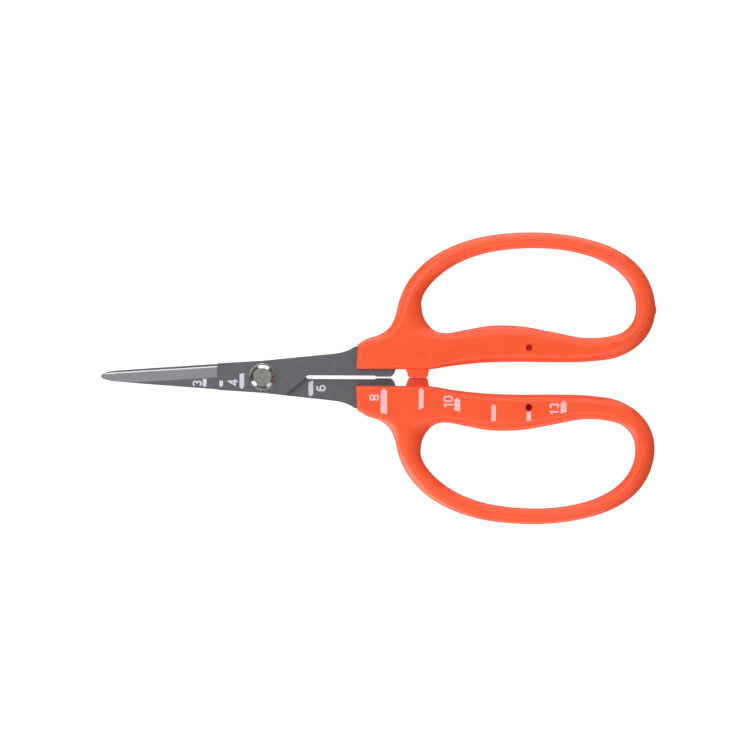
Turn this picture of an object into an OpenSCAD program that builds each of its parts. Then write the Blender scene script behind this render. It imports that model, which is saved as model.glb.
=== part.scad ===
// Floral snips, lying flat and closed. Two stacked steel blade halves turn on one riveted
// pivot, and each half carries a moulded handle with a closed finger loop. The halves have the
// same outline: the back one is the front one given half a turn about the long axis.
// Blade tips point to -X and handles to +X. The handles' underside is at z = 0, and the origin
// is below the middle of the whole object. Lengths are in millimetres.

/* [Blades] */
// Thickness of a blade half
plate_t = 2; // [1.6:0.1:2.4]
// Running gap between the two blade halves
plate_gap = 0.05; // [0.04:0.01:0.1]
// Reach of the blade tips from the pivot
tip_reach = 45.2; // [42:0.2:52]
// Length of the ground bevel, measured back from the tips
bevel_l = 32.6; // [24:0.2:34]
// Angle between the ground bevel and the flat of the blade
bevel_angle = 30; // [25:1:40]
// Thickness left along the cutting edge
edge_t = 0.12; // [0.05:0.01:0.3]
// Width of the slot between the two shanks when closed
slot_w = 1; // [0.8:0.1:1.2]
// Gap between the steel stop tabs when closed
tab_gap = 0.44; // [0.3:0.02:0.6]

/* [Pivot] */
// Diameter of the rivet's shank
shank_d = 5; // [4:0.1:5.4]
// Radial and axial running clearance of the front blade at the pivot
pivot_play = 0.03; // [0.02:0.01:0.08]
// Outer diameter of the washers
washer_d = 7.5; // [7:0.1:8.4]
// Thickness of a washer
washer_t = 0.4; // [0.3:0.05:0.6]
// Diameter of the rivet's head and of the closing collar at their foot
head_d = 6.7; // [6.2:0.1:6.9]
// Diameter of their flat ground faces
face_d = 5.1; // [4.8:0.1:5.6]
// Height of the head and of the collar
head_h = 1.1; // [0.9:0.1:1.4]
// Height of the straight wall under their cone
wall_h = 0.3; // [0.2:0.05:0.6]
// Diameter of the rivet's tail inside the collar
tail_d = 3.6; // [3:0.1:3.8]

/* [Handles] */
// Thickness of the handles
handle_t = 9; // [8:0.5:11]
// Height of the edge rounding as a multiple of its width
edge_rise = 1.25; // [0.8:0.05:1.4]
// Thickness of the stop bumpers
bumper_t = 5; // [4:0.5:6]
// Gap between the stop bumpers when closed
bumper_gap = 0.12; // [0.06:0.02:0.3]
// Diameter of the holes that the mould's pins leave
pin_hole_d = 1.9; // [1.4:0.1:2.2]
// Diameter of the anchor holes in the tangs
anchor_d = 2.6; // [1.6:0.2:3]

/* [Scale] */
// Thickness of the printed ink
ink_t = 0.03; // [0.02:0.01:0.03]
// Height of the figures
figure_h = 2.7; // [2.2:0.1:3]
// Width of the figures
figure_w = 1.8; // [1.6:0.1:2]
// Width of the figures' strokes
stroke_w = 0.48; // [0.3:0.02:0.56]

/* [Hidden] */
$fn = 64;

steel = "#64656a";
polished = "#c9c9c6";
orange = "#fc5f3a";
steel_ink = "#d9d6e4";
handle_ink = "#fbbcc0";

eps = 0.01;
far = 200;
curve_steps = 3;
rear_reach = 109.6;
gate_rise = 0.25;
gate_d = 2.2;
gate_y = 19.2;
pivot_x = (tip_reach - rear_reach - gate_rise) / 2;
blade_top = plate_t;
washer_z = plate_t + pivot_play;
head_z = washer_z + washer_t;
collar_z = plate_t + washer_t;

// The bevel stops at stop_x. The cutting edge runs straight from there to nose_l behind the tip.
stop_x = bevel_l - tip_reach;
stop_y = 3;
nose_l = 2.2;
nose_y = 0.92;
edge_slope = (stop_y - nose_y) / (bevel_l - nose_l);

// Mould-pin holes: on the side that the tang lies on, and on the far side.
pin_x = 74.3;
near_pin_y = 8.55;
far_pin_y = 8.1;
anchors = [[32.5, 5.6], [47, 7.5], [62, 8.7]];

// ---- Curves ----

function flat(p) = [p.x, p.y];
function knot(a, b) = sqrt(norm(flat(b) - flat(a)));

// Slope at b of a smooth curve through a, b and c, whose spans last d1 and d2.
function slope(a, b, c, d1, d2) = (b - a) / d1 - (c - a) / (d1 + d2) + (c - b) / d2;

// Point at fraction t between b and c on a smooth curve through a, b, c and d.
function between(a, b, c, d, t) =
    let (
        d1 = knot(a, b),
        d2 = knot(b, c),
        d3 = knot(c, d),
        m1 = d2 * slope(a, b, c, d1, d2),
        m2 = d2 * slope(b, c, d, d2, d3)
    )
    b + m1 * t + (3 * (c - b) - 2 * m1 - m2) * t * t + (2 * (b - c) + m1 + m2) * t * t * t;

// Smooth curve through the inner points of p, whose first and last points only aim its ends.
function curve(p) = [
    for (i = [1 : len(p) - 3], k = [0 : curve_steps - 1])
        between(p[i - 1], p[i], p[i + 1], p[i + 2], k / curve_steps)
];

// Straight run from a up to b, in as many steps as a curve's span.
function straight(a, b) = [for (k = [0 : curve_steps - 1]) a + (b - a) * k / curve_steps];

// ---- Blade halves, drawn for the front half about the pivot ----

// Round nose, as distances back from the tip, from the spine to the start of the cutting edge.
nose = curve([
    [7.2, -1.8], [4.2, -1.52], [1.9, -1.14], [0.4, -0.6], [0, 0.05], [0.5, 0.55],
    [nose_l, nose_y], [nose_l + 3, nose_y + 3 * edge_slope]
]);
flare = curve([[16, 6.2], [20, 6.6], [22, 6.95], [24, 7.6], [26.1, 8.7], [29, 8.9]]);
slot_y = slot_w / 2;
tab_y = tab_gap / 2;
tang_end = [80, 8.75];
tang_end_r = 2.1;

blade_outline = concat(
    [for (p = nose) [p.x - tip_reach, p.y]],
    [[nose_l - tip_reach, nose_y], [stop_x, stop_y], [stop_x, 3.72], [0, 4.5]],
    flare,
    [[26.1, 8.7], [29, 8.9], [40, 9], [52, 10.3]],
    [for (a = [90 : -30 : -90]) tang_end + tang_end_r * [cos(a), sin(a)]],
    [[56, 6.4], [46, 5.2], [39, 4.2], [37.5, 3], [37.1, 2.1], [36.6, 1.1], [35.7, tab_y]],
    [[31.9, tab_y], [31.2, slot_y], [12.9, slot_y], [12.4, 0.3], [12, -0.15]],
    [[6.4, -5], [-5, -4.1], [10.2 - tip_reach, -2]]
);

// Everything above the ground bevel, which rises from the cutting edge at bevel_angle.
module above_bevel() {
    intersection() {
        translate([stop_x, stop_y, edge_t])
            rotate([0, 0, atan(edge_slope)])
                rotate([-bevel_angle, 0, 0])
                    translate([-far / 2, -far / 2, 0])
                        cube([far, far, far]);
        translate([stop_x - far, -far / 2, edge_t])
            cube([far, far, far]);
    }
}

module blade_half(hole_d) {
    difference() {
        translate([0, 0, plate_gap / 2])
            linear_extrude(plate_t - plate_gap / 2)
                polygon(blade_outline);
        above_bevel();
        cylinder(d = hole_d, h = far, center = true);
        for (p = anchors)
            translate(p)
                cylinder(d = anchor_d, h = far, center = true);
    }
}

// ---- Handles, drawn for the upper handle about the pivot ----

// Each point is [x, y, width of the edge rounding there]. The outside starts at the foot of the
// front face and runs clockwise over the loop to the back of the bumper. Each point of the
// opening faces the point of the outside in the same place on its list.
outside_foot = [26.1, 2.3, 0.6];
outside_brow = [26.5, 9.2, 0.9];
outside_end = [46.6, 2.35, 0.8];
outside = [
    outside_brow, [29, 10.75, 1.6], [32.5, 11.95, 1.8], [35.3, 13.9, 2.2], [36.9, 17, 2.4],
    [38.2, 22, 2.4], [40.6, 27, 2.4], [45.2, 32.2, 2.3], [52, 36.45, 2.3], [60.5, 39.3, 2.2],
    [70, 40.6, 2.2], [80, 40.62, 2.2], [89.5, 39.2, 2.3], [98, 36.4, 2.5], [104.4, 32, 2.8],
    [108.1, 26.5, 3], [rear_reach, 20, 3], [108.6, 14.4, 3], [105.2, 9.6, 2.8],
    [99.2, 6.05, 2.3], [91, 4.75, 2], [81, 4.5, 1.8], [71, 4.57, 1.8], [61, 4.22, 1.7],
    [53, 3.35, 1.3], outside_end
];
opening = [
    [49, 12.75, 3], [47.3, 13.65, 3], [46.3, 14.7, 3], [45.4, 15.9, 3], [44.8, 17.2, 3],
    [44.4, 18.8, 2.9], [44.3, 21.5, 2.7], [45.4, 24.2, 2.5], [48.7, 28.05, 2.3],
    [54.2, 31.9, 2.2], [61.5, 34.7, 2.1], [70, 36.08, 2.1], [79, 36.27, 2.1],
    [87, 35.25, 2.1], [94, 33.1, 2], [99.3, 29.85, 2], [102.8, 25.6, 1.9], [104.2, 20.5, 1.9],
    [103.4, 16.1, 1.9], [100.6, 13.1, 2], [96, 11.7, 2.2], [89.5, 11.4, 2.4], [81, 12.95, 2.6],
    [72, 14.5, 2.6], [63.5, 14.6, 2.6], [56.5, 13.4, 2.8], [51.5, 12.5, 3]
];

function cyclic(list, i) = list[(i + len(list)) % len(list)];

outside_path = concat(
    straight(outside_foot, outside_brow),
    curve(concat([[23, 7.2, 0.9]], outside, [[40, 2.3, 0.8]])),
    straight(outside_end, outside_foot)
);
opening_path = curve([for (i = [-1 : len(opening) + 1]) cyclic(opening, i)]);

// Direction that moves both edges meeting at path[i] to the given side by one.
function side_normal(a, b, side) = side * [b.y - a.y, a.x - b.x] / norm(flat(b) - flat(a));
function corner_offset(path, i, side) =
    let (
        n1 = side_normal(cyclic(path, i - 1), path[i], side),
        n2 = side_normal(path[i], cyclic(path, i + 1), side)
    )
    (n1 + n2) / (1 + n1 * n2);

// Point at angle a around the rounding of the edge at p, from the wall (0) to the face (90).
function on_edge(p, inward, a, face) =
    let (
        rise = min(p.z * edge_rise, handle_t / 2 - 0.2),
        xy = flat(p) + inward * p.z * (1 - cos(a))
    )
    [xy.x, xy.y, face * (handle_t / 2 - rise * (1 - sin(a)))];

rounding = [0, 30, 60, 90];
unrounding = [90, 60, 30, 0];

function section(i) =
    let (
        p = outside_path[i],
        q = opening_path[i],
        p_in = corner_offset(outside_path, i, 1),
        q_in = corner_offset(opening_path, i, -1)
    )
    concat(
        [for (a = rounding) on_edge(p, p_in, a, 1)],
        [for (a = unrounding) on_edge(q, q_in, a, 1)],
        [for (a = rounding) on_edge(q, q_in, a, -1)],
        [for (a = unrounding) on_edge(p, p_in, a, -1)]
    );

// The loop as one closed skin: a ring of four-sided patches, each cut into two triangles.
module loop_body() {
    rings = len(outside_path);
    n = 4 * len(rounding);
    points = [for (i = [0 : rings - 1]) each section(i)];
    patches = [
        for (i = [0 : rings - 1], j = [0 : n - 1])
            let (i2 = (i + 1) % rings, j2 = (j + 1) % n)
            each [[i * n + j, i2 * n + j, i2 * n + j2], [i * n + j, i2 * n + j2, i * n + j2]]
    ];
    polyhedron(points, patches);
}

// Stop bumper on the mating edge, centred on the blade's plate and rooted inside the handle.
module bumper() {
    end_y = bumper_gap / 2;
    translate([0, 0, plate_t / 2])
        linear_extrude(bumper_t, center = true)
            polygon([
                [40, 3.6], [40, 2.4], [40.6, end_y + 0.4], [41, end_y], [45.7, end_y],
                [46.1, end_y + 0.4], [46.5, 2.4], [46.5, 3.6]
            ]);
}

module pin_holes() {
    translate([pin_x, near_pin_y, plate_t - eps])
        cylinder(d = pin_hole_d, h = far);
    translate([pin_x, far_pin_y, plate_gap / 2 + eps - far])
        cylinder(d = pin_hole_d, h = far);
}

module handle_half() {
    difference() {
        union() {
            loop_body();
            bumper();
        }
        blade_half(shank_d);
        pin_holes();
    }
}

// ---- Placing ----

module at_pivot() {
    translate([pivot_x, 0, handle_t / 2])
        children();
}

module half_turn() {
    rotate([180, 0, 0])
        children();
}

// ---- Blade and handle nodes ----

module front_blade() {
    color(steel)
        at_pivot()
            blade_half(shank_d + 2 * pivot_play);
}

module back_blade() {
    color(steel)
        at_pivot()
            half_turn()
                blade_half(shank_d);
}

module upper_handle() {
    color(orange)
        at_pivot() {
            handle_half();
            translate([rear_reach - 1.5, gate_y, 0])
                rotate([0, 90, 0])
                    cylinder(d = gate_d, h = 1.5 + gate_rise, $fn = 12);
        }
}

module lower_handle() {
    color(orange)
        at_pivot()
            half_turn()
                handle_half();
}

// ---- Pivot nodes ----

// Head with a short straight wall and a cone, standing on the plane z.
module head(z) {
    translate([0, 0, z])
        rotate_extrude()
            polygon([
                [0, 0], [head_d / 2, 0], [head_d / 2, wall_h], [face_d / 2, head_h], [0, head_h]
            ]);
}

module washer(z, hole_d) {
    translate([0, 0, z])
        difference() {
            cylinder(d = washer_d, h = washer_t);
            translate([0, 0, -1])
                cylinder(d = hole_d, h = washer_t + 2);
        }
}

module pivot_rivet() {
    color(polished)
        at_pivot() {
            head(head_z);
            translate([0, 0, -collar_z])
                cylinder(d = shank_d, h = collar_z + head_z);
            translate([0, 0, -collar_z - head_h])
                cylinder(d = tail_d, h = head_h);
        }
}

module front_washer() {
    color(polished)
        at_pivot()
            washer(washer_z, shank_d + 0.1);
}

module back_washer() {
    color(polished)
        at_pivot()
            washer(-collar_z, shank_d + 0.1);
}

module back_collar() {
    color(polished)
        at_pivot()
            half_turn()
                difference() {
                    head(collar_z);
                    cylinder(d = tail_d, h = far);
                }
}

// ---- Printed scale: marks and figures, read with the tips pointing up ----

module bar(a, b, w) {
    d = b - a;
    translate(a)
        rotate([0, 0, atan2(d.y, d.x)])
            translate([0, -w / 2])
                square([norm(d), w]);
}

// Part of a ring between angles a1 and a2, drawn as a polygon.
module arc(centre, r, a1, a2) {
    inner = r - stroke_w / 2;
    outer = r + stroke_w / 2;
    steps = ceil(abs(a2 - a1) / 20);
    angles = [for (k = [0 : steps]) a1 + (a2 - a1) * k / steps];
    back = [for (k = [0 : steps]) a2 + (a1 - a2) * k / steps];
    translate(centre)
        polygon(concat(
            [for (a = angles) outer * [cos(a), sin(a)]],
            [for (a = back) inner * [cos(a), sin(a)]]
        ));
}

module ring(centre, r) {
    translate(centre)
        difference() {
            circle(r = r + stroke_w / 2);
            circle(r = r - stroke_w / 2);
        }
}

// Half the width and height of a figure, to the middle of its stroke
fig_x = (figure_w - stroke_w) / 2;
fig_top = (figure_h - stroke_w) / 2;
pair_pitch = 1.6;

// One figure, upright and centred on the origin.
module figure(number) {
    bowl_r = fig_top / 2;
    bend_y = fig_top - fig_x;
    if (number == 0) {
        arc([0, bend_y], fig_x, 0, 180);
        arc([0, -bend_y], fig_x, -180, 0);
        for (side = [-1, 1])
            bar([side * fig_x, -bend_y - eps], [side * fig_x, bend_y + eps], stroke_w);
    }
    if (number == 1) {
        flag_y = figure_h / 2 - 0.6;
        bar([0, -figure_h / 2], [0, figure_h / 2], stroke_w);
        bar([0, flag_y], [-0.75, flag_y], stroke_w);
    }
    if (number == 3) {
        arc([0, bowl_r], bowl_r, -90, 160);
        arc([0, -bowl_r], bowl_r, -160, 90);
    }
    if (number == 4) {
        stem_x = 0.38;
        bar_y = -0.65;
        bar([stem_x, -figure_h / 2], [stem_x, figure_h / 2], stroke_w);
        bar([-figure_w / 2, bar_y], [figure_w / 2, bar_y], stroke_w);
        bar([stem_x, fig_top], [-fig_x, bar_y], stroke_w * 0.9);
    }
    if (number == 6) {
        ring([0, -bend_y], fig_x);
        bar([-fig_x, -bend_y], [-fig_x, bend_y + eps], stroke_w);
        arc([0, bend_y], fig_x, 40, 180);
    }
    if (number == 8) {
        loop_r = 0.5;
        flat_x = fig_x - loop_r;
        for (y = [fig_top - loop_r, loop_r - fig_top]) {
            arc([-flat_x, y], loop_r, 90, 270);
            arc([flat_x, y], loop_r, -90, 90);
            for (side = [-loop_r, loop_r])
                bar([-flat_x - eps, y + side], [flat_x + eps, y + side], stroke_w);
        }
    }
}

// A mark w wide that ends at right_x. Its foot is at y1, where the right corner is higher by
// slant, and its head is at y2, with an arrow on it unless it is blunt.
module mark(right_x, w, y1, y2, slant = 0, blunt = false) {
    point = blunt ? 0 : sign(y2 - y1) * w * 0.45;
    polygon([
        [right_x - w, y1], [right_x - w, y2 - point], [right_x - w / 2, y2],
        [right_x, y2 - point], [right_x, y1 + slant]
    ]);
}

// Figures face the tips, so their tops point to -X.
module figures(digits, x, y) {
    for (i = [0 : len(digits) - 1])
        translate([x, y + (i - (len(digits) - 1) / 2) * pair_pitch])
            rotate([0, 0, 90])
                figure(digits[i]);
}

module ink(z) {
    at_pivot()
        translate([0, 0, z])
            linear_extrude(ink_t)
                children();
}

module blade_scale() {
    color(steel_ink)
        ink(blade_top) {
            mark(-15.6, 1.05, -0.65, -3);
            figures([3], -18.2, -1.95);
            mark(-11, 1.05, -1.1, -3);
            mark(-5.1, 1.3, 0.75, -3.45, slant = 0.3);
            figures([4], -8.3, -1.65);
        }
}

module shank_scale() {
    color(steel_ink)
        ink(-plate_gap / 2) {
            mark(14.15, 1.35, -1.45, -5.45, slant = 0.5);
            figures([6], 16.3, -3.05);
        }
}

module handle_scale() {
    color(handle_ink)
        ink(handle_t / 2) {
            mark(34.8, 1.8, -9.8, -3, slant = -0.5);
            figures([8], 31.2, -5.6);
            mark(44.95, 1.35, -8.9, -2.85, slant = 0.5);
            mark(55.15, 1.7, -8.95, -5.45, slant = -0.45);
            figures([1, 0], 51.8, -6.65);
            mark(65.1, 1.25, -12, -7.2);
            mark(74.9, 1.25, -11.9, -9.35, blunt = true);
            mark(84.8, 1.65, -9.75, -6.15, slant = 0.35);
            figures([1, 3], 81.4, -8.5);
        }
}

front_blade();
back_blade();
upper_handle();
lower_handle();
pivot_rivet();
front_washer();
back_washer();
back_collar();
blade_scale();
shank_scale();
handle_scale();
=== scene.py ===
import math

import bmesh
import bpy
import numpy as np
from mathutils import Matrix, Vector
from mathutils.geometry import delaunay_2d_cdt


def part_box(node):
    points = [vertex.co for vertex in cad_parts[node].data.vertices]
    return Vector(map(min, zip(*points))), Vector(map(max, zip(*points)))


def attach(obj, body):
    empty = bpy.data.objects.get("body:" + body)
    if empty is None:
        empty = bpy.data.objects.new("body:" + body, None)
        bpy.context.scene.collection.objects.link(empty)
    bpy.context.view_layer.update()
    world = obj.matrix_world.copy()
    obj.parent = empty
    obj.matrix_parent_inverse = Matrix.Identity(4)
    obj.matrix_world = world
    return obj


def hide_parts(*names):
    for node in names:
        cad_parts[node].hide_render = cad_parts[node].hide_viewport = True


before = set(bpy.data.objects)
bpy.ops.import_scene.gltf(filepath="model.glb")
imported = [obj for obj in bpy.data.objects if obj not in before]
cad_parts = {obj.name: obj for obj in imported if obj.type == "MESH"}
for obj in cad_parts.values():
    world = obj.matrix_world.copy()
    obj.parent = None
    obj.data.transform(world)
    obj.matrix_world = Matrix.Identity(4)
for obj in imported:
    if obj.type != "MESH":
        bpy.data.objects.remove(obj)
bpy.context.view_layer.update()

MM = 0.001
WHITE = (1, 1, 1, 1)
BLACK = (0, 0, 0, 1)


def box_centre(node):
    low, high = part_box(node)
    return (Vector(low) + Vector(high)) / 2


# Places of the CAD solids: PIVOT_X and MID_Z in metres, the others in millimetres from them.
PIVOT_X = box_centre("pivot_rivet").x
MID_Z = box_centre("upper_handle").z
handle_low, handle_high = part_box("upper_handle")
HALF_T = (handle_high[2] - handle_low[2]) / 2 / MM
blade_low, blade_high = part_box("front_blade")
PLATE_TOP = (blade_high[2] - MID_Z) / MM
PLATE_LOW = (blade_low[2] - MID_Z) / MM
TIP_X = (blade_low[0] - PIVOT_X) / MM
REAR_X = (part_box("lower_handle")[1][0] - PIVOT_X) / MM

TO_FRAME = Matrix.Translation((PIVOT_X, 0, MID_Z)) @ Matrix.Scale(MM, 4)
HALF_TURN = Matrix.Rotation(math.pi, 4, "X")
ROOT = "lower_half"
SWING = "upper_half"

# ------------------------------------------------------------------ mesh tools


def make_object(name, verts, faces, material=None):
    mesh = bpy.data.meshes.new(name)
    mesh.from_pydata([tuple(v) for v in verts], [], [tuple(f) for f in faces])
    mesh.validate()
    obj = bpy.data.objects.new(name, mesh)
    bpy.context.scene.collection.objects.link(obj)
    if material:
        mesh.materials.append(material)
    return obj


def apply_modifiers(obj):
    depsgraph = bpy.context.evaluated_depsgraph_get()
    mesh = bpy.data.meshes.new_from_object(obj.evaluated_get(depsgraph))
    old = obj.data
    obj.modifiers.clear()
    obj.data = mesh
    bpy.data.meshes.remove(old)


def combine(obj, tool, operation):
    """Joins a closed tool to obj, cuts it away or keeps what both share, and deletes the tool."""
    mod = obj.modifiers.new("combine", "BOOLEAN")
    mod.operation = operation
    mod.solver = "EXACT"
    mod.object = tool
    apply_modifiers(obj)
    bpy.data.objects.remove(tool)


def soften(obj, width, angle, segments=2, finish=-1):
    """Rounds every edge sharper than angle, and may give the roundings a finish of their own."""
    mod = obj.modifiers.new("soften", "BEVEL")
    mod.material = finish
    mod.width = width
    mod.segments = segments
    mod.limit_method = "ANGLE"
    mod.angle_limit = math.radians(angle)
    apply_modifiers(obj)


WELD = 0.0005


def tidy_mesh(obj):
    """Welds points that coincide, drops slivers and turns every face outwards."""
    bm = bmesh.new()
    bm.from_mesh(obj.data)
    bmesh.ops.remove_doubles(bm, verts=bm.verts, dist=WELD)
    bmesh.ops.dissolve_degenerate(bm, dist=WELD, edges=bm.edges)
    bmesh.ops.recalc_face_normals(bm, faces=bm.faces)
    bm.to_mesh(obj.data)
    bm.free()


def shade(obj, angle):
    """Shades smooth, except across edges sharper than angle."""
    obj.data.shade_smooth()
    obj.data.set_sharp_from_angle(angle=math.radians(angle))


def set_finishes(obj, finishes):
    obj.data.materials.clear()
    for finish in finishes:
        obj.data.materials.append(finish)


def slab(name, loop, low, high):
    """A closed flat plate between two heights, from one outline."""
    n = len(loop)
    verts = [(x, y, z) for z in (low, high) for x, y in loop]
    faces = [range(n)[::-1], range(n, 2 * n)]
    faces += [(i, (i + 1) % n, n + (i + 1) % n, n + i) for i in range(n)]
    return make_object(name, verts, faces)


INSIDE_ONLY = 1
CROSSING_WELD = 1e-5


def flat_solid(name, loops, low, high):
    """A closed flat plate between two heights, from outlines that may cross each other."""
    points, outlines = [], []
    for loop in loops:
        outlines.append(list(range(len(points), len(points) + len(loop))))
        points += [Vector(p) for p in loop]
    cut = delaunay_2d_cdt(points, [], outlines, INSIDE_ONLY, CROSSING_WELD)
    spots, _, cells, _, _, owners = cut
    cells = [cell for cell, owner in zip(cells, owners) if owner]
    used = sorted({i for cell in cells for i in cell})
    index = {old: new for new, old in enumerate(used)}
    cells = [[index[i] for i in cell] for cell in cells]
    n = len(used)
    sides = {(a, b) for cell in cells for a, b in zip(cell, cell[1:] + cell[:1])}
    faces = [cell[::-1] for cell in cells] + [[n + i for i in cell] for cell in cells]
    faces += [(a, b, n + b, n + a) for a, b in sorted(sides) if (b, a) not in sides]
    verts = [(*spots[i], z) for z in (low, high) for i in used]
    return make_object(name, verts, faces)


def cylinder(radius, low, high, x=0.0, y=0.0, sides=48):
    turns = [2 * math.pi * k / sides for k in range(sides)]
    loop = [(x + radius * math.cos(t), y + radius * math.sin(t)) for t in turns]
    return slab("tool", loop, low, high)


def square_loop(half):
    return [(-half, -half), (half, -half), (half, half), (-half, half)]


def place(obj, body, nodes, half_turn=False):
    """Moves a mesh from millimetres about the pivot to the frame, and puts it in the model."""
    turn = HALF_TURN if half_turn else Matrix.Identity(4)
    obj.data.transform(TO_FRAME @ turn)
    obj.data.update()
    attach(obj, body)
    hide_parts(*nodes)


def smooth_curve(points, steps):
    """A smooth curve through the inner points. The first and last points only aim its ends."""
    pts = np.array(points, float)
    out = []
    for a, b, c, d in zip(pts, pts[1:], pts[2:], pts[3:]):
        d1, d2, d3 = (math.sqrt(np.linalg.norm(q[:2] - p[:2])) for p, q in ((a, b), (b, c), (c, d)))
        m1 = d2 * ((b - a) / d1 - (c - a) / (d1 + d2) + (c - b) / d2)
        m2 = d2 * ((c - b) / d2 - (d - b) / (d2 + d3) + (d - c) / d3)
        for t in np.arange(steps) / steps:
            cubic = 2 * (b - c) + m1 + m2
            square = 3 * (c - b) - 2 * m1 - m2
            out.append(b + m1 * t + square * t**2 + cubic * t**3)
    return np.array(out)


def smoothstep(low, high, value):
    t = np.clip((value - low) / (high - low), 0, 1)
    return t * t * (3 - 2 * t)


# ------------------------------------------------------------------ materials

# Pairs of colours that a material wanders between, and single ones that wear or scratches show.
ORANGE = (0.93, 0.087, 0.019, 1), (0.98, 0.099, 0.024, 1)
ORANGE_SPECK = (0.94, 0.089, 0.019, 1), (0.99, 0.103, 0.026, 1)
ORANGE_WORN = (1.0, 0.27, 0.15, 1)
COAT = (0.133, 0.137, 0.149, 1), (0.154, 0.158, 0.171, 1)
COAT_FLECK = (0.098, 0.101, 0.111, 1), (0.198, 0.202, 0.215, 1)
COAT_SCRATCH = (0.36, 0.37, 0.39, 1)
BEVEL = (0.168, 0.175, 0.189, 1), (0.197, 0.204, 0.219, 1)
BEVEL_LINE = (0.28, 0.288, 0.305, 1)
HONE = (0.34, 0.34, 0.33, 1), (0.44, 0.44, 0.43, 1)
# The broken edges' rubbed coat, made paler as well: a painted highlight along those edges.
RUBBED_AND_HIGHLIT = (0.22, 0.225, 0.24, 1), (0.42, 0.42, 0.44, 1)
POLISH = (0.48, 0.475, 0.46, 1), (0.57, 0.565, 0.55, 1)
RIVET_FACE = (0.21, 0.207, 0.198, 1), (0.36, 0.356, 0.343, 1)
INK_ON_STEEL = (0.52, 0.51, 0.58, 1), (0.72, 0.70, 0.80, 1)
INK_ON_ORANGE = (0.93, 0.42, 0.42, 1), (0.97, 0.58, 0.60, 1)
TABLE = (0.30, 0.30, 0.30, 1), (0.32, 0.32, 0.32, 1)


class Shader:
    """A material being built from nodes, with its Principled shader."""

    def __init__(self, name):
        self.material = bpy.data.materials.new(name)
        self.material.use_nodes = True
        self.tree = self.material.node_tree
        self.principled = self.tree.nodes["Principled BSDF"]
        self.coords = self.node("ShaderNodeTexCoord").outputs["Object"]

    def node(self, kind, **settings):
        made = self.tree.nodes.new(kind)
        for key, value in settings.items():
            setattr(made, key, value)
        return made

    def link(self, source, target):
        self.tree.links.new(source, target)

    def feed(self, value, target):
        """Gives an input a fixed value, or links another node's output to it."""
        if isinstance(value, bpy.types.NodeSocket):
            self.link(value, target)
        else:
            target.default_value = value

    def set(self, **values):
        for key, value in values.items():
            self.principled.inputs[key.replace("_", " ")].default_value = value

    def surface(self, colour, roughness):
        self.link(colour, self.principled.inputs["Base Color"])
        self.link(roughness, self.principled.inputs["Roughness"])

    def stretched(self, scale, turn):
        mapping = self.node("ShaderNodeMapping")
        mapping.inputs["Scale"].default_value = scale
        mapping.inputs["Rotation"].default_value = (0, 0, turn)
        self.link(self.coords, mapping.inputs["Vector"])
        return mapping.outputs["Vector"]

    def noise(self, size_mm, detail=3.0, rough=0.5, stretch=(1, 1, 1), turn=0.0):
        """Noise whose features are about size_mm across, from 0 to 1."""
        made = self.node("ShaderNodeTexNoise")
        made.inputs["Scale"].default_value = 1 / (size_mm * MM)
        made.inputs["Detail"].default_value = detail
        made.inputs["Roughness"].default_value = rough
        self.link(self.stretched(stretch, turn), made.inputs["Vector"])
        return made.outputs["Fac"]

    def ramp(self, source, low, high, colours):
        """Goes from one colour to the other as source goes from low to high."""
        made = self.node("ShaderNodeValToRGB")
        for element, position, colour in zip(made.color_ramp.elements, (low, high), colours):
            element.position = position
            element.color = colour
        self.link(source, made.inputs["Fac"])
        return made.outputs["Color"]

    def span(self, source, low, high, from_low=0.3, from_high=0.7):
        """Goes from low to high as source goes from from_low to from_high."""
        made = self.node("ShaderNodeMapRange")
        made.inputs["From Min"].default_value = from_low
        made.inputs["From Max"].default_value = from_high
        made.inputs["To Min"].default_value = low
        made.inputs["To Max"].default_value = high
        self.link(source, made.inputs["Value"])
        return made.outputs["Result"]

    def mix(self, factor, a, b):
        made = self.node("ShaderNodeMix", data_type="RGBA")
        self.link(factor, made.inputs["Factor"])
        self.feed(a, made.inputs["A"])
        self.feed(b, made.inputs["B"])
        return made.outputs["Result"]

    def maths(self, operation, a, b):
        made = self.node("ShaderNodeMath", operation=operation)
        self.feed(a, made.inputs[0])
        self.feed(b, made.inputs[1])
        return made.outputs["Value"]

    def edges(self, low, high):
        """How much an edge stands out, from 0 on flats to 1 on sharp ridges."""
        return self.span(self.node("ShaderNodeNewGeometry").outputs["Pointiness"], 0, 1, low, high)

    def bump(self, *layers):
        """Stacks height layers, each (source, depth in millimetres)."""
        normal = None
        for source, depth_mm in layers:
            made = self.node("ShaderNodeBump")
            made.inputs["Strength"].default_value = 1.0
            made.inputs["Distance"].default_value = depth_mm * MM
            self.link(source, made.inputs["Height"])
            if normal:
                self.link(normal, made.inputs["Normal"])
            normal = made.outputs["Normal"]
        self.link(normal, self.principled.inputs["Normal"])


def moulded_plastic():
    """Orange-red satin moulding: faint flow marks, a fine grain, and scuffs on proud edges."""
    s = Shader("orange_moulding")
    s.set(Specular_IOR_Level=0.45)
    flow = s.noise(18, detail=2, stretch=(0.5, 1, 1))
    mottle = s.noise(1.6, detail=4)
    body = s.ramp(flow, 0.35, 0.65, ORANGE)
    speck = s.ramp(mottle, 0.4, 0.62, ORANGE_SPECK)
    base = s.mix(s.span(mottle, 0.2, 0.6), body, speck)
    worn = s.maths("MULTIPLY", s.edges(0.515, 0.58), s.span(s.noise(2.5, detail=6), 0, 0.22))
    s.surface(s.mix(worn, base, ORANGE_WORN), s.span(s.noise(5, detail=5), 0.30, 0.38))
    s.bump((s.noise(0.35, detail=2), 0.004), (s.noise(4, detail=3), 0.02))
    return s.material


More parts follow.
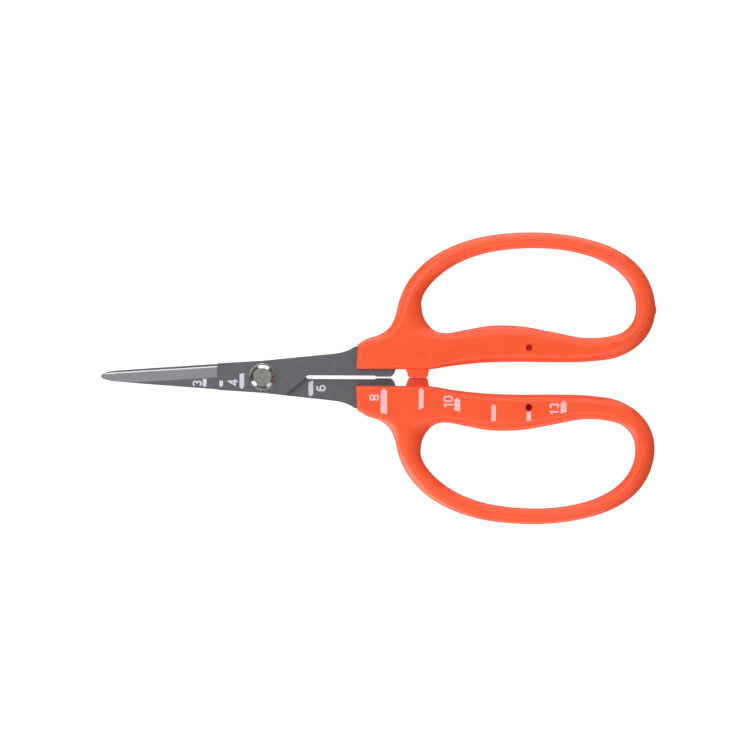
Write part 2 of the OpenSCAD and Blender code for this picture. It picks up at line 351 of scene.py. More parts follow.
def coated_steel():
    """Dark grey hard coat over blasted steel, with fine handling scratches."""
    s = Shader("coated_steel")
    s.set(Metallic=0.75)
    grain = s.noise(0.22, detail=3, rough=0.6)
    cloud = s.noise(7, detail=3)
    dark = s.ramp(cloud, 0.3, 0.7, COAT)
    fleck = s.ramp(grain, 0.35, 0.7, COAT_FLECK)
    base = s.mix(s.span(grain, 0.4, 0.9), dark, fleck)
    scratch = s.span(s.noise(0.25, detail=2, stretch=(0.05, 1, 1), turn=0.6), 0, 1, 0.66, 0.8)
    base = s.mix(s.maths("MULTIPLY", scratch, 0.35), base, COAT_SCRATCH)
    s.surface(base, s.span(grain, 0.40, 0.52))
    s.bump((grain, 0.004), (s.noise(0.25, detail=2, stretch=(0.06, 1, 1), turn=0.6), 0.002))
    return s.material


def ground_steel():
    """The ground bevel: paler, with fine grinding lines across the blade."""
    s = Shader("ground_steel")
    s.set(Metallic=0.85)
    lines = s.noise(0.12, detail=2, stretch=(1, 0.04, 0.04), turn=0.05)
    cloud = s.noise(5, detail=3)
    base = s.ramp(cloud, 0.3, 0.7, BEVEL)
    s.surface(s.mix(s.span(lines, 0, 0.35), base, BEVEL_LINE), s.span(lines, 0.34, 0.46))
    s.bump((lines, 0.003))
    return s.material


def honed_steel():
    """The honed cutting edge: bare steel with the finest lines, paler than the bevel."""
    s = Shader("honed_steel")
    s.set(Metallic=1.0)
    lines = s.noise(0.08, detail=2, stretch=(1, 0.05, 0.05))
    s.surface(s.ramp(lines, 0.3, 0.7, HONE), s.span(lines, 0.22, 0.34))
    s.bump((lines, 0.001))
    return s.material


def rubbed_and_highlit_steel():
    """The plate's broken edges: the coat rubbed thin in patches, with a painted highlight that
    lightens them.
    """
    s = Shader("rubbed_and_highlit_steel")
    s.set(Metallic=0.85)
    patches = s.noise(0.9, detail=5)
    s.surface(s.ramp(patches, 0.4, 0.62, RUBBED_AND_HIGHLIT), s.span(patches, 0.5, 0.34))
    s.bump((s.noise(0.2, detail=2), 0.003))
    return s.material


def polished_steel():
    """Turned and polished steel of the pivot's cones and washers."""
    s = Shader("polished_steel")
    s.set(Metallic=1.0)
    smear = s.noise(1.2, detail=4)
    s.surface(s.ramp(smear, 0.3, 0.7, POLISH), s.span(smear, 0.13, 0.23))
    s.bump((s.noise(1.5, detail=2), 0.0008))
    return s.material


def brushed_face():
    """The flat ground face on the rivet: crossed grinding scratches, duller than the cone."""
    s = Shader("brushed_face")
    s.set(Metallic=1.0)
    one = s.noise(0.16, detail=3, stretch=(0.12, 1, 1), turn=0.7)
    two = s.noise(0.16, detail=3, stretch=(0.12, 1, 1), turn=-0.9)
    both = s.maths("MULTIPLY", s.maths("ADD", one, two), 0.5)
    s.surface(s.ramp(both, 0.36, 0.64, RIVET_FACE), s.span(both, 0.36, 0.55))
    s.bump((both, 0.008))
    return s.material


def printed_ink(name, colours):
    """Pad-printed ink, thinner in places so that it takes a little of the ground's colour."""
    s = Shader(name)
    s.set(Specular_IOR_Level=0.3)
    cover = s.noise(0.5, detail=4)
    s.surface(s.ramp(cover, 0.35, 0.6, colours), s.span(cover, 0.45, 0.6))
    s.bump((s.noise(0.2, detail=2), 0.002))
    return s.material


# ------------------------------------------------------------------ camera, floor and light

SENSOR = 36.0
FRAME_WIDTH = 211.17318 * MM
CAMERA_HEIGHT = 1.6
CAMERA_X = -0.0001
CAMERA_Y = -0.00015
CAMERA_ROLL = math.radians(0.31)
CLIP_START = 0.1
CLIP_END = 20


def make_camera():
    """Straight down on the snips from far off, turned a little about its own axis."""
    data = bpy.data.cameras.new("camera")
    data.sensor_width = SENSOR
    data.lens = SENSOR * CAMERA_HEIGHT / FRAME_WIDTH
    data.dof.use_dof = False
    data.clip_start = CLIP_START
    data.clip_end = CLIP_END
    camera = bpy.data.objects.new("camera", data)
    bpy.context.scene.collection.objects.link(camera)
    camera.location = (CAMERA_X, CAMERA_Y, CAMERA_HEIGHT + MID_Z)
    camera.rotation_euler = (0, 0, CAMERA_ROLL)
    bpy.context.scene.camera = camera


# Each sheet's half side in metres, its depth under the snips in millimetres, and its glow.
FLOOR_HALF = 6.0
FLOOR_DROP = 0.05
FLOOR_GLOW = 0.93
BOUNCE_HALF = 3.0
BOUNCE_DROP = 0.5
BOUNCE_GLOW = 0.5


def square(name, half, height, material):
    verts = [(x, y, height) for x, y in square_loop(half)]
    made = make_object(name, verts, [(0, 1, 2, 3)], material)
    return made


def make_floor():
    """A pale table that glows, so that the shadows on it stay faint. Only the camera sees it."""
    s = Shader("pale_floor")
    s.set(Roughness=0.9, Specular_IOR_Level=0.05)
    s.set(Emission_Color=WHITE, Emission_Strength=FLOOR_GLOW)
    base = s.ramp(s.noise(400, detail=2), 0.3, 0.7, TABLE)
    s.link(base, s.principled.inputs["Base Color"])
    floor = square("floor", FLOOR_HALF, -FLOOR_DROP * MM, s.material)
    floor.visible_diffuse = False
    floor.visible_glossy = False
    floor.visible_shadow = False


def make_bounce():
    """The light that the table sends up evenly: a dim sheet, never seen or mirrored itself."""
    s = Shader("bounce")
    s.set(Base_Color=BLACK, Roughness=1.0, Specular_IOR_Level=0.0)
    s.set(Emission_Color=WHITE, Emission_Strength=BOUNCE_GLOW)
    sheet = square("bounce", BOUNCE_HALF, -BOUNCE_DROP * MM, s.material)
    sheet.visible_camera = False
    sheet.visible_shadow = False
    sheet.visible_glossy = False


# Softboxes round the table: (azimuth, elevation, width and height in metres, power in watts).
# Those of the last two rows stand below the table. It casts no shadow, so that they light the
# snips' steep edges from below.
SOFTBOXES = [
    (85, 9, 1.3, 0.35, 3.8), (218, 16, 0.5, 0.6, 5.0), (308, 9, 0.6, 0.35, 0.8),
    (125, 37, 2.2, 1.3, 5.4), (270, 37, 2.2, 1.2, 5.5), (45, 37, 2.0, 1.2, 3.4),
    (125, 60, 1.3, 0.9, 5.4), (270, 60, 1.3, 0.9, 3.6),
    (90, -20, 1.5, 0.8, 9.5), (180, -28, 1.0, 0.6, 2.2),
    (225, -20, 1.0, 0.8, 9.0), (270, -28, 1.2, 0.6, 3.6),
]
SOFTBOX_REACH = 1.2
WORLD_FILL = 0.1


def soft_light(azimuth, elevation, width, height, power):
    data = bpy.data.lights.new("softbox", "AREA")
    data.shape = "RECTANGLE"
    data.size, data.size_y = width, height
    data.energy = power
    light = bpy.data.objects.new("softbox", data)
    bpy.context.scene.collection.objects.link(light)
    turn, lift = math.radians(azimuth), math.radians(elevation)
    level = math.cos(lift)
    away = Vector((level * math.cos(turn), level * math.sin(turn), math.sin(lift)))
    light.location = away * SOFTBOX_REACH
    light.rotation_euler = away.to_track_quat("Z", "Y").to_euler()
    light.visible_camera = False


def make_world():
    """A pale surround behind the table that gives only a little light of its own."""
    world = bpy.data.worlds.new("studio")
    world.use_nodes = True
    tree = world.node_tree
    fill = tree.nodes["Background"]
    fill.inputs["Color"].default_value = WHITE
    fill.inputs["Strength"].default_value = WORLD_FILL
    surround = tree.nodes.new("ShaderNodeBackground")
    surround.inputs["Color"].default_value = WHITE
    chosen = tree.nodes.new("ShaderNodeMixShader")
    seen = tree.nodes.new("ShaderNodeLightPath").outputs["Is Camera Ray"]
    tree.links.new(seen, chosen.inputs["Fac"])
    tree.links.new(fill.outputs["Background"], chosen.inputs[1])
    tree.links.new(surround.outputs["Background"], chosen.inputs[2])
    tree.links.new(chosen.outputs["Shader"], tree.nodes["World Output"].inputs["Surface"])
    bpy.context.scene.world = world


def make_light():
    make_world()
    for softbox in SOFTBOXES:
        soft_light(*softbox)
    bpy.context.scene.view_settings.view_transform = "Standard"


# ------------------------------------------------------------------ blades

# Places in the list of a blade's finishes, after the coated steel, which is first.
GROUND, HONED, EDGE_WEAR_AND_HIGHLIGHT = 1, 2, 3

# The outline runs clockwise from below the nose, along the cutting edge to its stop, round the
# tang, and back along the slot between the two halves and past the heel. NOSE is measured from
# the tip, and the rest from the pivot.
EDGE_T = 0.17
STOP_X = 32.6 + TIP_X
STOP_Y = 3.0
STEP_Y = 3.72
NOSE_L = 2.2
NOSE_Y = 0.92
EDGE_SLOPE = (STOP_Y - NOSE_Y) / (STOP_X - TIP_X - NOSE_L)
EDGE_TURN = math.atan(EDGE_SLOPE)
BEVEL_ANGLE = math.radians(30)
HONE_ANGLE = math.radians(45)
NOSE = [
    (7.2, -1.8), (4.2, -1.52), (1.9, -1.14), (0.4, -0.6), (0, 0.05), (0.5, 0.55),
    (NOSE_L, NOSE_Y), (NOSE_L + 3, NOSE_Y + 3 * EDGE_SLOPE),
]
NOSE_STEPS = 6
SHOULDER = (0, 4.5)
FLARE = [(16, 6.2), (20, 6.6), (22, 6.95), (24, 7.6), (26.1, 8.7), (29, 8.9)]
FLARE_STEPS = 4
TANG_TOP = [(26.1, 8.7), (29, 8.9), (40, 9), (52, 10.3)]
TANG_FOOT = [(56, 6.4), (46, 5.2), (39, 4.2), (37.5, 3), (37.1, 2.1)]
TAB = [(36.85, 1.35), (36.4, 0.65), (35.7, 0.22), (31.9, 0.22), (31.2, 0.5)]
SLOT_END = [(12.9, 0.5), (12.55, 0.42), (12.25, 0.2), (12.0, -0.15)]
HEEL = (6.4, -5.0)
BELLY = [(-5, -4.1), (10.2 + TIP_X, -2)]
TANG_END = (80, 8.75)
TANG_END_R = 2.1
TANG_END_TURNS = [math.radians(a) for a in range(90, -91, -15)]
ANCHORS = [(32.5, 5.6), (47, 7.5), (62, 8.7)]
ANCHOR_R = 1.3
CUT_REACH = 5
GRIND_REACH = 60.0
LEAN_TOLERANCE = 0.1
BROKEN_EDGE = 0.09
BROKEN_FROM = 38
PLATE_SHADE = 8


def blade_outline():
    nose = [(x + TIP_X, y) for x, y in smooth_curve(NOSE, NOSE_STEPS)]
    x, y = TANG_END
    tang_end = [
        (x + TANG_END_R * math.cos(t), y + TANG_END_R * math.sin(t)) for t in TANG_END_TURNS
    ]
    return (
        nose
        + [(TIP_X + NOSE_L, NOSE_Y), (STOP_X, STOP_Y), (STOP_X, STEP_Y), SHOULDER]
        + [tuple(p) for p in smooth_curve(FLARE, FLARE_STEPS)]
        + TANG_TOP
        + tang_end
        + TANG_FOOT
        + TAB
        + SLOT_END
        + [HEEL]
        + BELLY
    )


def grinding_wedge(angle, height):
    """All that a grinding plane takes off: it rises from the cutting edge, as far as the stop."""
    run = Matrix.Rotation(EDGE_TURN, 4, "Z")
    tilt = Matrix.Rotation(-angle, 4, "X")
    origin = Matrix.Translation((STOP_X, STOP_Y, height))
    wedge = slab("wedge", square_loop(GRIND_REACH), 0, GRIND_REACH)
    wedge.data.transform(origin @ run @ tilt)
    left = STOP_X - GRIND_REACH
    ahead = [
        (left, -GRIND_REACH), (STOP_X, -GRIND_REACH), (STOP_X, GRIND_REACH), (left, GRIND_REACH),
    ]
    combine(wedge, slab("ahead", ahead, -GRIND_REACH, GRIND_REACH), "INTERSECT")
    return wedge


def split_at(obj, stations):
    """Divides faces along planes across X, so that no face will have a hole inside it."""
    bm = bmesh.new()
    bm.from_mesh(obj.data)
    for x in stations:
        everything = bm.verts[:] + bm.edges[:] + bm.faces[:]
        bmesh.ops.bisect_plane(bm, geom=everything, plane_co=(x, 0, 0), plane_no=(1, 0, 0))
    bm.to_mesh(obj.data)
    bm.free()


def cut_anchors(plate):
    for x, y in ANCHORS:
        combine(plate, cylinder(ANCHOR_R, -CUT_REACH, CUT_REACH, x, y), "DIFFERENCE")


def blade_plate(name):
    plate = slab(name, blade_outline(), PLATE_LOW, PLATE_TOP)
    split_at(plate, [0] + [x for x, _ in ANCHORS])
    combine(plate, grinding_wedge(BEVEL_ANGLE, EDGE_T), "DIFFERENCE")
    combine(plate, grinding_wedge(HONE_ANGLE, PLATE_LOW), "DIFFERENCE")
    return plate


def mark_ground_faces(plate):
    """Gives the faces that lean like the bevel and the honed edge their own finishes."""
    slope_axis = Vector((-math.sin(EDGE_TURN), math.cos(EDGE_TURN), 0))
    for face in plate.data.polygons:
        lean = math.atan2(face.normal.dot(slope_axis), face.normal.z)
        ahead = face.center.x < STOP_X and face.material_index != EDGE_WEAR_AND_HIGHLIGHT
        if ahead and abs(lean - BEVEL_ANGLE) < LEAN_TOLERANCE:
            face.material_index = GROUND
        if ahead and abs(lean - HONE_ANGLE) < LEAN_TOLERANCE:
            face.material_index = HONED


def make_blade(name, body, node, hole_r, finishes, half_turn):
    plate = blade_plate(name)
    combine(plate, cylinder(hole_r, -CUT_REACH, CUT_REACH, sides=96), "DIFFERENCE")
    cut_anchors(plate)
    tidy_mesh(plate)
    set_finishes(plate, finishes)
    # The broken edges get the rubbed finish, whose pale colour is partly a painted highlight.
    soften(plate, BROKEN_EDGE, BROKEN_FROM, finish=EDGE_WEAR_AND_HIGHLIGHT)
    mark_ground_faces(plate)
    shade(plate, PLATE_SHADE)
    place(plate, body, [node], half_turn)


# ------------------------------------------------------------------ handles

# Each point is (x, y, width of the edge rounding). The outside runs clockwise, from FOOT up the
# front face to BROW, over the loop to OUTSIDE_END behind the bumper, and straight back to FOOT.
# The points of OPENING face FOOT and then those of OUTSIDE, one for one. The two AIM points are
# not passed through: they only aim the curve's ends.
FOOT = (26.1, 2.3, 0.9)
BROW = (26.5, 9.2, 1.1)
OUTSIDE_END = (46.6, 2.35, 0.9)
AIM_BEFORE = (23, 7.2, 1.1)
AIM_AFTER = (40, 2.3, 0.9)
OUTSIDE = [
    BROW, (29, 10.75, 1.7), (32.5, 11.95, 2.0), (35.3, 13.9, 2.3), (36.9, 17, 2.5),
    (38.2, 22, 2.5), (40.6, 27, 2.4), (45.2, 32.2, 2.3), (52, 36.45, 2.3), (60.5, 39.3, 2.2),
    (70, 40.58, 2.2), (80, 40.6, 2.2), (89.5, 39.2, 2.3), (98, 36.4, 2.6), (104.4, 32, 2.9),
    (108.1, 26.5, 3.1), (REAR_X, 20, 3.2), (108.6, 14.4, 3.2), (105.2, 9.6, 2.9),
    (99.2, 6.05, 2.5), (91, 4.75, 2.2), (81, 4.5, 2.1), (71, 4.57, 2.1), (61, 4.22, 2.0),
    (53, 3.35, 1.5), OUTSIDE_END,
]
OPENING = [
    (49, 12.75, 1.9), (47.3, 13.65, 2.9), (46.3, 14.7, 4.5), (45.4, 15.9, 5.3),
    (44.8, 17.2, 4.9), (44.4, 18.8, 4.2), (44.3, 21.5, 3.4), (45.4, 24.2, 2.9),
    (48.7, 28.05, 2.5), (54.2, 31.9, 2.2), (61.5, 34.7, 2.1), (70, 36.08, 2.1),
    (79, 36.27, 2.1), (87, 35.25, 2.1), (94, 33.1, 2.0), (99.3, 29.85, 2.0),
    (102.8, 25.6, 1.9), (104.2, 20.5, 1.9), (103.4, 16.1, 1.9), (100.6, 13.1, 2.0),
    (96, 11.7, 2.2), (89.5, 11.4, 2.4), (81, 12.95, 2.6), (72, 14.5, 2.7), (63.5, 14.6, 2.8),
    (56.5, 13.4, 2.4), (51.5, 12.5, 1.9),
]
SPAN_STEPS = 12
ROUND_STEPS = 9
EDGE_TURNS = [math.radians(90 * k / ROUND_STEPS) for k in range(ROUND_STEPS + 1)]
FACE_SHARES = (0.03, 0.35, 0.65, 0.97)
EDGE_RISE = 1.35
WALL_HALF = 0.4
LOOP_DROP = 0.35
DROP_FROM = 16
DROP_TO = 34
SEAM_PROUD = 0.04
SEAM_HALF = 0.12
NO_LENGTH = 1e-9
BUMPER_GAP = 0.015
BUMPER = [
    (40, 2.4), (40.6, 0.5), (40.74, 0.24), (41.0, BUMPER_GAP), (45.72, BUMPER_GAP),
    (45.98, 0.24), (46.12, 0.5), (46.5, 2.4), (46.5, 3.6), (40, 3.6),
]
BUMPER_Z = (-1.5, 3.5)
BUMPER_ROUND = 0.25
MOULD_SHARP = 50
PIN_R = 0.95
PIN_SKIN = 0.1
PIN_X = 74.3
PIN_REACH = 9
NEAR_PIN_Y = 8.55
FAR_PIN_Y = 8.1
GATE_Y = 19.2
GATE_R = 1.1
GATE_ROOT = -1.5
GATE_PROUD = 0.22
GATE_ROUND = 0.06
HANDLE_SHADE = 34


def side_offsets(path, side):
    """For each corner of a closed path, the move that shifts both its edges sideways by one."""
    along = np.roll(path, -1, axis=0) - path
    along /= np.linalg.norm(along, axis=1)[:, None]
    normals = side * np.stack([along[:, 1], -along[:, 0]], axis=1)
    before = np.roll(normals, 1, axis=0)
    return (normals + before) / (1 + (normals * before).sum(axis=1))[:, None]


def unfold(path, moved):
    """Gathers the points of an inset path where it has folded over itself at a corner."""
    n = len(path)
    along = np.roll(path, -1, axis=0) - path
    for _ in range(SPAN_STEPS):
        steps = np.roll(moved, -1, axis=0) - moved
        folded = [i for i in range(n) if along[i] @ steps[i] < -NO_LENGTH]
        if not folded:
            break
        for i in folded:
            if (i - 1) % n in folded:
                continue
            last = i
            while (last + 1) % n in folded:
                last += 1
            a, b = moved[i - 1], moved[i]
            c, d = moved[(last + 1) % n], moved[(last + 2) % n]
            cross = (b - a)[0] * (d - c)[1] - (b - a)[1] * (d - c)[0]
            if abs(cross) < NO_LENGTH:
                meet = (b + c) / 2
            else:
                share = ((c - a)[0] * (d - c)[1] - (c - a)[1] * (d - c)[0]) / cross
                meet = a + (b - a) * share
            for k in range(i, last + 2):
                moved[k % n] = meet
    return moved


def loop_half(path, offsets, face):
    """Rows of points up one edge, from beside the seam to the flat face."""
    xy, width = path[:, :2], path[:, 2]
    drop = LOOP_DROP * smoothstep(DROP_FROM, DROP_TO, xy[:, 1])
    rise = np.minimum(width * EDGE_RISE, HALF_T - WALL_HALF)
    rows = []
    for a in EDGE_TURNS:
        inset = SEAM_PROUD + width * (1 - math.cos(a))
        z = HALF_T - drop - rise * (1 - math.sin(a))
        rows.append(np.column_stack([unfold(xy, xy + offsets * inset[:, None]), face * z]))
    return rows


def across_face(row_a, row_b):
    """Rows of points over a flat face, with one close beside each edge to keep its shading flat."""
    return [row_a + (row_b - row_a) * share for share in FACE_SHARES]


def seam_rows(path, offsets):
    """The mould's parting line: a fine ridge along the middle of the wall."""
    xy = path[:, :2]
    ridge = [(SEAM_HALF, SEAM_PROUD), (0.0, 0.0), (-SEAM_HALF, SEAM_PROUD)]
    return [np.column_stack([xy + offsets * inset, np.full(len(xy), z)]) for z, inset in ridge]


def straight_run(a, b, steps):
    a, b = np.array(a), np.array(b)
    return np.array([a + (b - a) * k / steps for k in range(steps)])


def loop_mesh(name):
    """The handle's whole skin, as a closed ring of sections."""
    outside = np.concatenate([
        straight_run(FOOT, BROW, SPAN_STEPS),
        smooth_curve([AIM_BEFORE] + OUTSIDE + [AIM_AFTER], SPAN_STEPS),
        straight_run(OUTSIDE_END, FOOT, SPAN_STEPS),
    ])
    wrapped = OPENING[-1:] + OPENING + OPENING[:2]
    opening = smooth_curve(wrapped, SPAN_STEPS)
    out_move = side_offsets(outside[:, :2], 1)
    in_move = side_offsets(opening[:, :2], -1)
    out_top = loop_half(outside, out_move, 1)
    in_top = loop_half(opening, in_move, 1)
    in_low = loop_half(opening, in_move, -1)
    out_low = loop_half(outside, out_move, -1)
    rows = (
        out_top
        + across_face(out_top[-1], in_top[-1])
        + in_top[::-1]
        + seam_rows(opening, in_move)
        + in_low
        + across_face(in_low[-1], out_low[-1])
        + out_low[::-1]
        + seam_rows(outside, out_move)[::-1]
    )
    grid = np.stack(rows, axis=1)
    rings, n = grid.shape[:2]
    faces = [
        (i * n + j, (i + 1) % rings * n + j, (i + 1) % rings * n + (j + 1) % n, i * n + (j + 1) % n)
        for i in range(rings) for j in range(n)
    ]
    return make_object(name, grid.reshape(-1, 3), faces)


def bumper():
    """Stop bumper on the mating edge, rooted inside the handle."""
    made = slab("bumper", BUMPER, *BUMPER_Z)
    soften(made, BUMPER_ROUND, MOULD_SHARP, segments=3)
    return made


def gate_mark():
    """Where the moulding was cut from its sprue: a low rough disc on the rear of the loop."""
    made = cylinder(GATE_R, GATE_ROOT, GATE_PROUD, sides=24)
    soften(made, GATE_ROUND, MOULD_SHARP)
    spot = Matrix.Translation((REAR_X, GATE_Y, 0))
    made.data.transform(spot @ Matrix.Rotation(math.pi / 2, 4, "Y"))
    return made


def cut_pin_holes(handle):
    """The blind holes that the mould's pins leave, one on each side of the tang."""
    near_end, far_end = PLATE_TOP + PIN_SKIN, PLATE_LOW - PIN_SKIN
    combine(handle, cylinder(PIN_R, near_end, PIN_REACH, PIN_X, NEAR_PIN_Y), "DIFFERENCE")
    combine(handle, cylinder(PIN_R, -PIN_REACH, far_end, PIN_X, FAR_PIN_Y), "DIFFERENCE")


def make_handle(name, node, body, material, half_turn):
    handle = loop_mesh(name)
    combine(handle, bumper(), "UNION")
    if not half_turn:
        combine(handle, gate_mark(), "UNION")
    cut_pin_holes(handle)
    tang = slab("tang", blade_outline(), PLATE_LOW, PLATE_TOP)
    cut_anchors(tang)
    combine(handle, tang, "DIFFERENCE")
    tidy_mesh(handle)
    set_finishes(handle, [material])
    shade(handle, HANDLE_SHADE)
    place(handle, body, [node], half_turn)


# ------------------------------------------------------------------ pivot

SHANK_R = 2.5
TAIL_R = 1.8
HEAD_R = 3.35
FACE_R = 2.49
FACE_RING = 0.6
HEAD_H = 1.1
HEAD_WALL = 0.3
WASHER_R = 3.75
WASHER_T = 0.4
WASHER_BORE_PLAY = 0.05
# How far in and down from the washer's upper corner its rounding passes.
WASHER_ROUND = [(0, 0.12), (0.05, 0.04), (0.14, 0)]
PLAY = 0.03
BREAK = 0.05
LATHE_SIDES = 128
TURNED_SHADE = 8
# Places in a turned piece's list of finishes, and how upright the normal of a flat face is.
TURNED, FACED = range(2)
UPRIGHT = 0.95


def lathe(name, profile, finishes, pick):
    """A turned piece from (radius, height) points, with a finish picked for each face.

    A profile that starts on the axis also ends on it. Any other is closed into a ring.
    """
    verts, faces = [], []
    n = len(profile)
    spans = n - 1 if profile[0][0] == 0 else n
    for k in range(LATHE_SIDES):
        t = 2 * math.pi * k / LATHE_SIDES
        verts += [(r * math.cos(t), r * math.sin(t), z) for r, z in profile]
    for k in range(LATHE_SIDES):
        a, b = k * n, (k + 1) % LATHE_SIDES * n
        for i in range(spans):
            j = (i + 1) % n
            faces.append((a + i, b + i, b + j, a + j))
    made = make_object(name, verts, faces)
    tidy_mesh(made)
    set_finishes(made, finishes)
    for face in made.data.polygons:
        face.material_index = pick(face)
    shade(made, TURNED_SHADE)
    return made


def head_profile(foot_z, inner_r):
    """A short wall and a cone up to the flat face, with their edges broken."""
    top = foot_z + HEAD_H
    brow = foot_z + HEAD_WALL
    slope = (HEAD_R - FACE_R) / (HEAD_H - HEAD_WALL)
    return [
        (inner_r, foot_z), (HEAD_R - BREAK / 2, foot_z), (HEAD_R, foot_z + BREAK / 2),
        (HEAD_R, brow - BREAK / 2), (HEAD_R - slope * BREAK / 2, brow + BREAK / 2),
        (FACE_R + slope * BREAK / 2, top - BREAK / 2), (FACE_R - BREAK / 2, top), (inner_r, top),
    ]


def make_rivet(polished, brushed):
    head_z = PLATE_TOP + PLAY + WASHER_T
    collar_z = PLATE_TOP + WASHER_T
    tail_z = -collar_z - HEAD_H
    head = head_profile(head_z, SHANK_R)
    profile = (
        [(0, tail_z), (TAIL_R - BREAK, tail_z), (TAIL_R, tail_z + BREAK), (TAIL_R, -collar_z)]
        + [(SHANK_R, -collar_z)]
        + head[:-1]
        + [(FACE_R * FACE_RING, head_z + HEAD_H), (0, head_z + HEAD_H)]
    )

    def pick(face):
        flat = abs(face.normal.z) > UPRIGHT and math.hypot(*face.center[:2]) < FACE_R
        return FACED if flat else TURNED

    rivet = lathe("rivet", profile, [polished, brushed], pick)
    place(rivet, ROOT, ["pivot_rivet"])


def make_collar(polished, brushed):
    profile = head_profile(PLATE_TOP + WASHER_T, TAIL_R)

    def pick(face):
        return FACED if face.normal.z > UPRIGHT else TURNED

    collar = lathe("rear_collar", profile, [polished, brushed], pick)
    place(collar, ROOT, ["back_collar"], half_turn=True)


def make_washer(name, node, low, polished):
    inner = SHANK_R + WASHER_BORE_PLAY
    high = low + WASHER_T
    profile = (
        [(inner, low), (WASHER_R - BREAK, low), (WASHER_R, low + BREAK)]
        + [(WASHER_R - inward, high - down) for inward, down in WASHER_ROUND]
        + [(inner, high)]
    )
    washer = lathe(name, profile, [polished], lambda face: TURNED)
    place(washer, ROOT, [node])


# ------------------------------------------------------------------ printed scale

INK_T = 0.028
INK_SHADE = 20
FIGURE_H = 2.7
FIGURE_W = 1.8
STROKE = 0.48
OVERLAP = 0.01
ARC_STEP = 9
PAIR_PITCH = 1.6
ARROW = 0.45
FIG_X = (FIGURE_W - STROKE) / 2
FIG_TOP = (FIGURE_H - STROKE) / 2
BEND_Y = FIG_TOP - FIG_X


def bar(x1, y1, x2, y2, width=STROKE):
    length = math.hypot(x2 - x1, y2 - y1)
    ux, uy = (x2 - x1) / length, (y2 - y1) / length
    nx, ny = -uy * width / 2, ux * width / 2
    return [(x1 - nx, y1 - ny), (x2 - nx, y2 - ny), (x2 + nx, y2 + ny), (x1 + nx, y1 + ny)]


def arc(cx, cy, r, start, end):
    """Part of a ring, from start on to end in degrees."""
    steps = math.ceil((end - start) / ARC_STEP)
    turns = [math.radians(start + (end - start) * k / steps) for k in range(steps + 1)]
    far, near = r + STROKE / 2, r - STROKE / 2
    outer = [(cx + far * math.cos(t), cy + far * math.sin(t)) for t in turns]
    inner = [(cx + near * math.cos(t), cy + near * math.sin(t)) for t in turns]
    return outer + inner[::-1]


def ring(cx, cy, r):
    return [arc(cx, cy, r, 0, 190), arc(cx, cy, r, 180, 370)]


def long_ring(cy, r, flat):
    """A ring about (0, cy) with straight top and bottom, flat long each way from the middle."""
    return [
        arc(-flat, cy, r, 90, 270),
        arc(flat, cy, r, -90, 90),
        bar(-flat - OVERLAP, cy + r, flat + OVERLAP, cy + r),
        bar(-flat - OVERLAP, cy - r, flat + OVERLAP, cy - r),
    ]


def figure(number):
    """The strokes of one figure, upright and centred on the origin."""
    bowl_r = FIG_TOP / 2
    flag_x, flag_y = -0.75, FIGURE_H / 2 - 0.6
    stem_x, bar_y = 0.38, -0.65
    loop_r = 0.5
    thin = STROKE * 0.9
    strokes = {
        0: [
            arc(0, BEND_Y, FIG_X, 0, 180),
            arc(0, -BEND_Y, FIG_X, 180, 360),
            bar(-FIG_X, -BEND_Y - OVERLAP, -FIG_X, BEND_Y + OVERLAP),
            bar(FIG_X, -BEND_Y - OVERLAP, FIG_X, BEND_Y + OVERLAP),
        ],
        1: [bar(0, -FIGURE_H / 2, 0, FIGURE_H / 2), bar(0, flag_y, flag_x, flag_y)],
        3: [arc(0, bowl_r, bowl_r, -90, 160), arc(0, -bowl_r, bowl_r, -160, 90)],
        4: [
            bar(stem_x, -FIGURE_H / 2, stem_x, FIGURE_H / 2),
            bar(-FIGURE_W / 2, bar_y, FIGURE_W / 2, bar_y),
            bar(stem_x, FIG_TOP, -FIG_X, bar_y, thin),
        ],
        6: ring(0, -BEND_Y, FIG_X) + [
            bar(-FIG_X, -BEND_Y, -FIG_X, BEND_Y + OVERLAP),
            arc(0, BEND_Y, FIG_X, 40, 180),
        ],
        8: long_ring(FIG_TOP - loop_r, loop_r, FIG_X - loop_r)
        + long_ring(loop_r - FIG_TOP, loop_r, FIG_X - loop_r),
    }
    return strokes[number]


def figures(digits, x, y):
    """Figures whose tops point to the tips, as their loops in place."""
    loops = []
    for i, digit in enumerate(digits):
        shift = (i - (len(digits) - 1) / 2) * PAIR_PITCH
        for loop in figure(digit):
            loops.append([(x - v, y + shift + u) for u, v in loop])
    return loops


def mark(right_x, width, foot_y, head_y, slant=0.0, blunt=False):
    """One mark of the scale, from foot to head: the head is an arrow, or flat if it is blunt.

    The right corner of the foot is higher by slant.
    """
    point = 0 if blunt else math.copysign(width * ARROW, head_y - foot_y)
    loop = [
        (right_x - width, foot_y), (right_x - width, head_y - point),
        (right_x - width / 2, head_y), (right_x, head_y - point), (right_x, foot_y + slant),
    ]
    return [loop if head_y < foot_y else loop[::-1]]


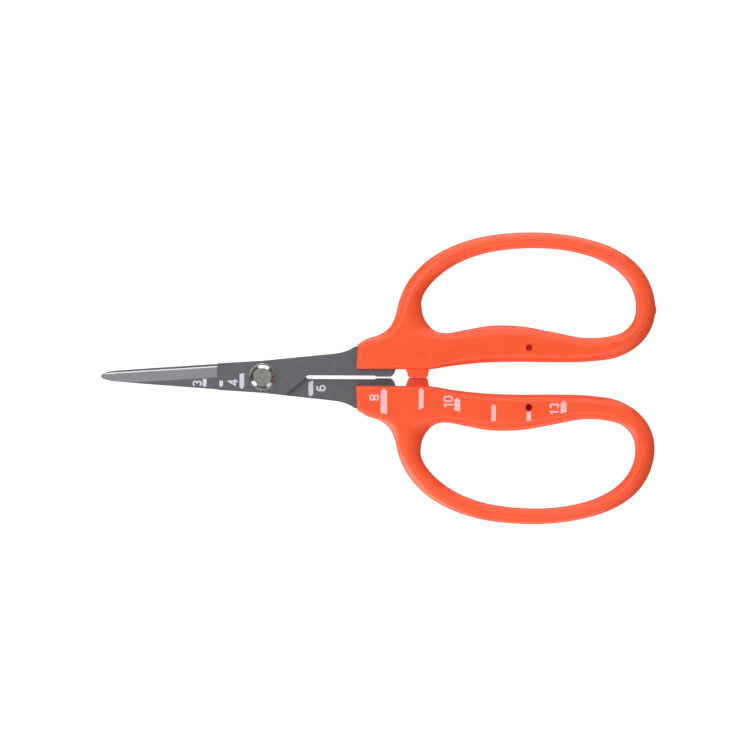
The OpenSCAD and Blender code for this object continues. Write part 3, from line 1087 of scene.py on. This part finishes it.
def make_scale(name, body, loops, low, material):
    ink = flat_solid("print_" + name, loops, low, low + INK_T)
    set_finishes(ink, [material])
    shade(ink, INK_SHADE)
    place(ink, body, [name])


BLADE_MARKS = (
    mark(-15.6, 1.05, -0.65, -3)
    + figures([3], -18.2, -1.95)
    + mark(-11, 1.05, -1.1, -3)
    + mark(-5.1, 1.3, 0.75, -3.45, slant=0.3)
    + figures([4], -8.3, -1.65)
)
SHANK_MARKS = mark(14.15, 1.35, -1.45, -5.45, slant=0.5) + figures([6], 16.3, -3.05)
HANDLE_MARKS = (
    mark(34.8, 1.8, -9.8, -3, slant=-0.5)
    + figures([8], 31.2, -5.6)
    + mark(44.95, 1.35, -8.9, -2.85, slant=0.5)
    + mark(55.15, 1.7, -8.95, -5.45, slant=-0.45)
    + figures([1, 0], 51.8, -6.65)
    + mark(65.1, 1.25, -12, -7.2)
    + mark(74.9, 1.25, -11.9, -9.35, blunt=True)
    + mark(84.8, 1.65, -9.75, -6.15, slant=0.35)
    + figures([1, 3], 81.4, -8.5)
)

# ------------------------------------------------------------------ the snips

make_camera()
make_floor()
make_bounce()
make_light()

orange = moulded_plastic()
blade_finishes = [coated_steel(), ground_steel(), honed_steel(), rubbed_and_highlit_steel()]
polished = polished_steel()
brushed = brushed_face()
pale_ink = printed_ink("ink_on_steel", INK_ON_STEEL)
pink_ink = printed_ink("ink_on_orange", INK_ON_ORANGE)

make_blade("blade_front", SWING, "front_blade", SHANK_R + PLAY, blade_finishes, half_turn=False)
make_blade("blade_back", ROOT, "back_blade", SHANK_R, blade_finishes, half_turn=True)
make_handle("grip_upper", "upper_handle", SWING, orange, half_turn=False)
make_handle("grip_lower", "lower_handle", ROOT, orange, half_turn=True)
make_rivet(polished, brushed)
make_collar(polished, brushed)
make_washer("washer_front", "front_washer", PLATE_TOP + PLAY, polished)
make_washer("washer_back", "back_washer", -PLATE_TOP - WASHER_T, polished)
make_scale("blade_scale", SWING, BLADE_MARKS, PLATE_TOP, pale_ink)
make_scale("shank_scale", ROOT, SHANK_MARKS, -PLATE_LOW, pale_ink)
make_scale("handle_scale", ROOT, HANDLE_MARKS, HALF_T, pink_ink)
